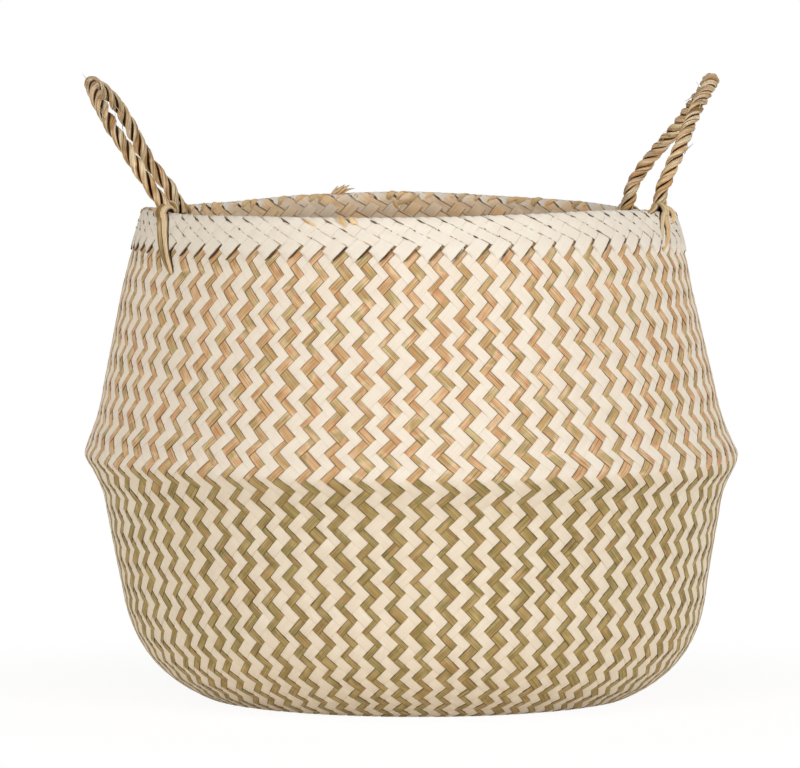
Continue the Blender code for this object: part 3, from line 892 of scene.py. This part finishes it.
def handleFrame(data):
    front, back = data["rootFacets"]
    turn = (back - front) / 2 * facetAngle
    half = (back + front) / 2 * facetAngle
    distance = rope["rootRadius"] * math.cos(half) * data["side"]
    place = Vector((distance * math.cos(turn), abs(distance) * math.sin(turn), rope["hingeHeight"]))
    lean = Matrix.Rotation(math.radians(data["lean"]) * data["side"], 4, "Y")
    spin = Matrix.Rotation(turn * data["side"], 4, "Z")
    return Matrix.Translation(place) @ spin @ lean, rope["rootRadius"] * math.sin(half)


def loopPlace(data, halfSpan, angle):
    # the handle's half ellipse, gathered at its top, whose legs bow out of its plane
    rise = np.sin(angle)
    reach = halfSpan * np.cos(angle) * (1 - rope["gather"] * rise ** 2)
    bow = np.where(reach > 0, np.interp(rise, bowRises, data["frontBow"]),
                   np.interp(rise, bowRises, data["backBow"])) * data["side"] / 1000
    return np.stack([bow, -reach, data["height"] * rise], axis=-1)


def crossProduct(first, second):
    product = np.cross(first, second)
    return product / np.linalg.norm(product, axis=1)[:, None]


def slope(points):
    ahead = np.gradient(points, axis=0)
    return ahead / np.linalg.norm(ahead, axis=1)[:, None]


def ropeBlades(data, matrix, halfSpan, seed):
    draw = np.random.default_rng(seed)
    angles = np.linspace(0, math.pi, 800)
    lengths = runLengths(loopPlace(data, halfSpan, angles))
    total = lengths[-1]
    count = data["turns"] * rope["stepsPerTurn"]
    front, back = rope["overruns"]
    stations = np.linspace(-front, total + back, count)
    place = loopPlace(data, halfSpan, np.interp(stations, lengths, angles))
    # the ends run on inwards into the border, or turn straight down into it
    plumb = matrix.to_3x3().transposed() @ Vector((0, 0, -1))
    for beyond, share in zip((-stations, stations - total), data["turnDown"]):
        down = np.array(Vector((0, 0, -1)).lerp(plumb, share).normalized())
        place += np.maximum(beyond, 0)[:, None] * down
    blur = np.array([1, 2, 3, 2, 1]) / 9
    for axis in range(3):
        place[2:-2, axis] = np.convolve(place[:, axis], blur, mode="valid")
    ahead = slope(place)
    across = crossProduct(ahead, np.array([[1.0, 0, 0]]))
    side = np.cross(across, ahead)
    turned = np.array(matrix.to_3x3())
    beams = np.linspace(-math.pi, math.pi, rope["sides"] + 1)[:-1]
    blades = []
    for strand in range(rope["strands"]):
        phase = fullTurn * strand / rope["strands"]
        angle = phase + fullTurn * data["turns"] * stations / total
        arm = side * np.cos(angle)[:, None] + across * np.sin(angle)[:, None]
        centre = place + arm * rope["helixRadius"]
        along = slope(centre)
        outward = arm - along * (arm * along).sum(1)[:, None]
        outward /= np.linalg.norm(outward, axis=1)[:, None]
        sideways = np.cross(along, outward)
        pace = draw.uniform(*rope["swellPace"])
        swell = 1 + rope["swell"] * np.sin(stations * pace + draw.uniform(0, 6))
        sections = []
        for beam in beams:
            turn = rope["ridges"] * beam + stations * rope["ridgePace"] + phase
            ridge = rope["ridge"] * np.sin(turn)
            size = rope["strandRadius"] * (swell + ridge)
            sections.append(centre + (outward * math.cos(beam) + sideways * math.sin(beam)
                                      ) * size[:, None])
        points = np.stack(sections, axis=1) @ turned.T + np.array(matrix.translation)
        blades.append({"points": points, "along": stations * 1000 + 10, "number": strand * 10,
                       "tone": data["tones"][strand], "paint": 0.0})
    for number in range(rope["hairs"]):
        # loose fibres that stand off the rope
        at = draw.integers(30, count - 30)
        beam = draw.uniform(0, fullTurn)
        away = side[at] * math.cos(beam) + across[at] * math.sin(beam)
        run = np.linspace(0, draw.uniform(*rope["hairLength"]), len(rope["hairSizes"]))[:, None]
        line = place[at] + away * rope["hairRoot"] + ahead[at] * run * 0.9 + away * run ** 2 * 30
        turnAway = np.cross(ahead[at], away)
        ring = np.array([math.cos(b) * away + math.sin(b) * turnAway for b in beams])
        points = line[:, None] + ring[None] * np.array(rope["hairSizes"])[:, None, None]
        points = points @ turned.T + np.array(matrix.translation)
        blades.append({"points": points, "along": run[:, 0] * 1000, "number": 50 + number,
                       "tone": draw.random(), "paint": 0.0})
    return blades


for name, data in handles.items():
    matrix, halfSpan = handleFrame(data)
    piece = sweepBlades(name + "Rope", ropeBlades(data, matrix, halfSpan, 41 + data["turns"]),
                        finish["rope"], **ropeSection)
    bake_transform(piece)
    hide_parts(*(f"{name}_handle_strand_{n}" for n in (1, 2, 3)))
print("handles done")


# lashings: the rope ends, split, taken over the border and through a hole

threadSection = tubeSection(10, 12)
# each thread: its tone, then places as millimetres round the rim from the root, below the
# rim's top (negative inside), out from the wall, and its radius
inwardShifts = {"leftFront": -3, "leftBack": 0, "rightFront": 0, "rightBack": 5}
inwardKnots = ((-2.3, 0, 3.4, 1.9), (-2.4, -2.2, 4, 2.1), (-2.2, -6, 3, 2.1), (-1.6, -14, 2.4, 1.6),
               (-1.2, -20, 1.6, 1.2), (-1.1, -22, -0.8, 0.9))
outwardKnots = ((-2.3, -1.8, 2.8, 1.7), (-2.4, 1, 3, 1.9), (-2.2, 5, 2.6, 1.9), (-1.6, 16, 2.2, 1.6),
                (-0.8, 30, 1.4, 1.2), (-0.6, 34, -0.6, 0.9))


def mirrored(knots):
    return tuple((-along, *rest) for along, *rest in knots)


inwardThreads = ((0.35, inwardKnots), (0.80, mirrored(inwardKnots)))
lashings = {
    "leftFront": (
        (0.80, ((0, -2.5, 5, 2.2), (2.5, 0.8, 4.8, 2.4), (5.5, 5, 3.2, 2.4), (10, 14, 2.6, 2.2),
                (16.4, 23, 2.2, 2), (23.2, 30, 1.8, 1.6), (28.8, 35, 1.3, 1.3),
                (30.8, 37.2, 0.2, 0.9))),
        (0.06, ((1, -3.2, 3.6, 2.2), (6.5, -0.2, 4.2, 2.4), (11.8, 4.5, 3.2, 2.3),
                (16.6, 14, 2.6, 2.1), (21.5, 22, 2.2, 1.8), (26.4, 29, 1.8, 1.5),
                (30.4, 34.6, 1.2, 1.2), (31.6, 37.6, 0.2, 0.8))),
    ),
    "leftBack": (
        (0.45, outwardKnots),
        (0.05, mirrored(outwardKnots)),
        (0.10, ((0, -2, 5.4, 2), (-7, -3.6, 4.6, 2), (-15, -6.2, 3.2, 1.7), (-23, -8.6, 2, 1.3),
                (-30, -10.4, 0.4, 0.9))),
        (0.55, ((-2, -0.5, 5.2, 2), (-8, -1.4, 4.2, 1.8), (-14, -2.8, 3.2, 1.5),
                (-20, -4.5, 1.8, 1.1), (-24, -6, 0.2, 0.8))),
    ),
    "rightFront": (
        (0.35, ((4, -2.2, 5.4, 2.4), (-3, -2.2, 5.2, 2.6), (-10, -1.6, 4.6, 2.6),
                (-18, -0.6, 3.6, 2.2), (-26, 0.6, 2.6, 1.7), (-33, 1.6, 0.8, 0.9))),
        (0.95, ((-4, -2, 5, 2.3), (-10, 0.2, 4.6, 2.4), (-15, 3.5, 3.2, 2.2), (-18.6, 8, 2.4, 1.8),
                (-21, 13, 1.8, 1.4), (-22, 17, 0.2, 0.8))),
        (0.06, ((-4, -1, 4.6, 2.2), (-11, 2.5, 3.8, 2.4), (-13.5, 7, 3.2, 2.4),
                (-12.6, 12.5, 2.6, 2.2), (-16, 18, 2.2, 1.8), (-20.6, 22.5, 1.4, 1.3),
                (-22.2, 25, 0, 0.8))),
        (0.25, ((-2, 1.5, 2, 1.4), (2.5, 0.2, 2.8, 2.1), (6, 2, 2.7, 2.2), (7, 4.8, 2.1, 2),
                (5, 7.6, 1.2, 1.5), (2, 8.6, 0, 0.9))),
    ),
    "rightBack": (
        (0.66, ((3.3, -1.8, 2.4, 1.7), (3, 1, 2.8, 1.9), (-2.2, 5, 2.6, 1.9), (-1.4, 14, 2.2, 1.6),
                (-0.8, 21, 1.2, 1.2), (-0.6, 23, -0.6, 0.9))),
        (0.20, ((6.5, -1.8, 2.4, 1.7), (6.2, 1, 2.8, 1.9), (2.2, 5, 2.6, 1.9), (1.4, 14, 2.2, 1.6),
                (0.8, 21, 1.2, 1.2), (0.6, 23, -0.6, 0.9))),
    ),
}
# loose strip ends about the rim, their places round it measured from the right
looseEnds = (
    (0.62, ((-301.5, -2.5, 1.6, 1.2), (-299, 1, 2.4, 2), (-296.5, 4, 2.2, 1.4),
            (-294.4, 6.9, 1.6, 0.3))),
    (0.18, ((-293.5, -0.5, 1.8, 1), (-291.5, 2, 2.2, 1.7), (-289.5, 3.6, 2, 1.3),
            (-286.7, 5.4, 1.4, 0.3))),
    (0.38, ((-323.5, 0.8, 1.4, 0.4), (-320, 2.6, 1.9, 0.9), (-316, 4.6, 1.9, 0.9),
            (-311.5, 6.6, 1.5, 0.3))),
    (0.95, ((269, -10.6, 1.4, 0.8), (264, -7.4, 2.2, 1.2), (257, -5, 2.6, 1.1),
            (250.5, -3.2, 2, 0.4))),
    (0.12, ((267.5, -5.5, 2, 1), (265.5, -9, 2.2, 1.2), (263.5, -12, 1.8, 0.4))),
    (0.20, ((308, -1.2, 1.6, 1.4), (304.5, -0.8, 3.2, 2.6), (301.5, -0.6, 5, 2.3),
            (299, -0.5, 7, 0.6))),
    (0.06, ((305, -1.6, 1.6, 1.6), (302, -1.2, 3.6, 2.4), (298.5, -0.8, 5.4, 1.8),
            (296, -0.8, 6.6, 0.5))),
    (0.14, ((303, -1.4, 1.4, 1.4), (299, -1, 3.2, 2.2), (295.5, -0.8, 4.2, 1.5),
            (292.5, -0.8, 4.4, 0.4))),
    (0.30, ((307, -0.8, 1.4, 1.2), (306, -0.6, 3.4, 1.8), (304.5, -0.6, 5.2, 1.4),
            (303.5, -0.6, 6.4, 0.4))),
    (0.45, ((540, -1.8, 1.2, 1.2), (549, -1.4, 2.2, 1.7), (559, -0.8, 2.3, 1.6),
            (568, 0.4, 1.6, 1))),
    (0.70, ((528, -0.8, 1.4, 1), (532, 0.8, 2, 1.3), (535, 4.5, 1.8, 1), (536, 8, 1.2, 0.4))),
)
# short strip ends folded over the border's crown: angles, the share that has one, millimetres
folds = {"first": 0.10, "pitch": 0.062, "far": (0.75, math.pi - 0.35), "farShare": 0.88,
         "nearShare": 0.12, "halfWidth": (1.0, 1.8), "height": (0.9, 2.3), "run": (3.4, 7.0)}


def foldedEnds():
    draw = np.random.default_rng(71)
    ends = []
    for angle in np.arange(folds["first"], fullTurn, folds["pitch"]):
        far = folds["far"][0] < angle < folds["far"][1]
        if draw.random() > folds["farShare" if far else "nearShare"]:
            continue
        at = (angle + draw.uniform(-0.02, 0.02)) * border["radius"] * 1000
        wide = draw.uniform(*folds["halfWidth"])
        high = draw.uniform(*folds["height"])
        run = draw.uniform(*folds["run"])
        ends.append((draw.random() ** 1.5, (
            (at + run, -6.0, 1.0, 0.4), (at + run * 0.6, -4.0, high * 0.9, wide),
            (at, -2.2, high, wide), (at - run * 0.6, -1.2, high * 0.8, wide * 0.7),
            (at - run, 0, 0.6, 0.3))))
    return ends


def throughKnots(knots, steps):
    # a smooth line through the knots
    knots = np.array(knots, float)
    padded = np.concatenate([knots[:1] * 2 - knots[1:2], knots, knots[-1:] * 2 - knots[-2:-1]])
    t = np.linspace(0, 1, steps, endpoint=False)[:, None]
    parts = []
    for a, b, c, d in zip(padded, padded[1:], padded[2:], padded[3:]):
        parts.append(0.5 * (2 * b + (c - a) * t + (2 * a - 5 * b + 4 * c - d) * t ** 2
                            + (3 * b - a - 3 * c + d) * t ** 3))
    return np.concatenate(parts + [knots[-1:]])


def threadBlade(azimuth, knots, tone, number, flat=1.0):
    line = throughKnots(np.array(knots) / 1000, 6)
    spot = np.stack([azimuth * border["radius"] + line[:, 0], line[:, 1]], axis=-1)
    centre = borderPoint(spot, line[:, 2])
    away = borderPoint(spot, line[:, 2] + 0.001) - centre
    along = slope(centre)
    sideways = crossProduct(along, away)
    outward = np.cross(sideways, along)
    sections = []
    for beam in np.linspace(-math.pi, math.pi, 11)[:-1]:
        ridge = 1 + 0.06 * math.sin(3 * beam + tone * 6)
        sections.append(centre + (outward * math.cos(beam) * flat + sideways * math.sin(beam)
                                  ) * (line[:, 3] * ridge)[:, None])
    return {"points": np.stack(sections, axis=1), "along": runLengths(centre) * 1000,
            "number": number, "tone": tone, "paint": 0.0}


for name, data in handles.items():
    for end, sign, facets in zip(("Front", "Back"), (-1, 1), data["rootFacets"]):
        angle = sign * facets * facetAngle
        azimuth = angle if data["side"] > 0 else math.pi - angle
        inward = tuple((tone, tuple((s + inwardShifts[name + end], *rest) for s, *rest in knots))
                       for tone, knots in inwardThreads)
        threads = [threadBlade(azimuth, knots, tone, 40 + index * 3)
                   for index, (tone, knots) in enumerate(lashings[name + end] + inward)]
        piece = sweepBlades(f"{name}{end}Lashing", threads, finish["lashing"], **threadSection)
        label = f"{name}_{end.lower()}_lashing"
        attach(piece, "rim")
        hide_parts(label + "_a", label + "_b")
threads = [threadBlade(0, knots, tone, 80 + index * 3, flat=0.3)
           for index, (tone, knots) in enumerate((*looseEnds, *foldedEnds()))]
piece = sweepBlades("looseEnds", threads, finish["looseEnd"], **threadSection)
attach(piece, "rim")
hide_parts("rim_border")
print("lashings and loose ends done")
